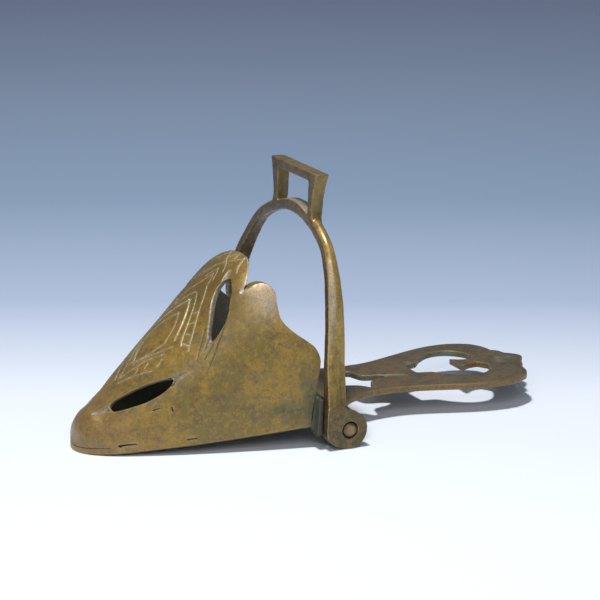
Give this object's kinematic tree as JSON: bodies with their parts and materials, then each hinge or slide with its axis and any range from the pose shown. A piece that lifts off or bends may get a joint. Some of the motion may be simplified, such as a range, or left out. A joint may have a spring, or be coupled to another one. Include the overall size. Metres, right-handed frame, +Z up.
{
  "type": "shoe stirrup",
  "caption": "Cast brass shoe stirrup: a slipper-shaped toe hood with slits and lobed rim on a pierced foot plate, with a hinged bow that ends in a strap loop.",
  "frame": {"origin": "middle of the footprint's bounding box, on the ground that the toe and the two eyes stand on", "axes": "+X from toe to heel, +Y from the near side to the far side of the picture, +Z up"},
  "size_m": [0.2276, 0.106, 0.1179],
  "materials": {
    "plate_brass": "aged cast brass, dark brown patina on top, worn golden edges",
    "hood_brass": "aged cast brass, mottled olive brown, soft gloss, verdigris in the cuts",
    "bow_brass": "aged cast brass, polished by handling along its outer edges",
    "pin_brass": "brass, worn bright on the domed end"
  },
  "bodies": {
    "shoe": {"foot_plate": "plate_brass", "toe_hood": "hood_brass", "pivot_pin_near": "pin_brass", "pivot_pin_far": "pin_brass"},
    "bow": {"stirrup_bow": "bow_brass"}
  },
  "joints": [
    {"name": "bow_pivot", "type": "hinge", "parent": "shoe", "child": "bow", "pos_m": [-0.00324, 0, 0.0086], "axis": [0, 1, 0], "range_deg": [0, 83]}
  ]
}
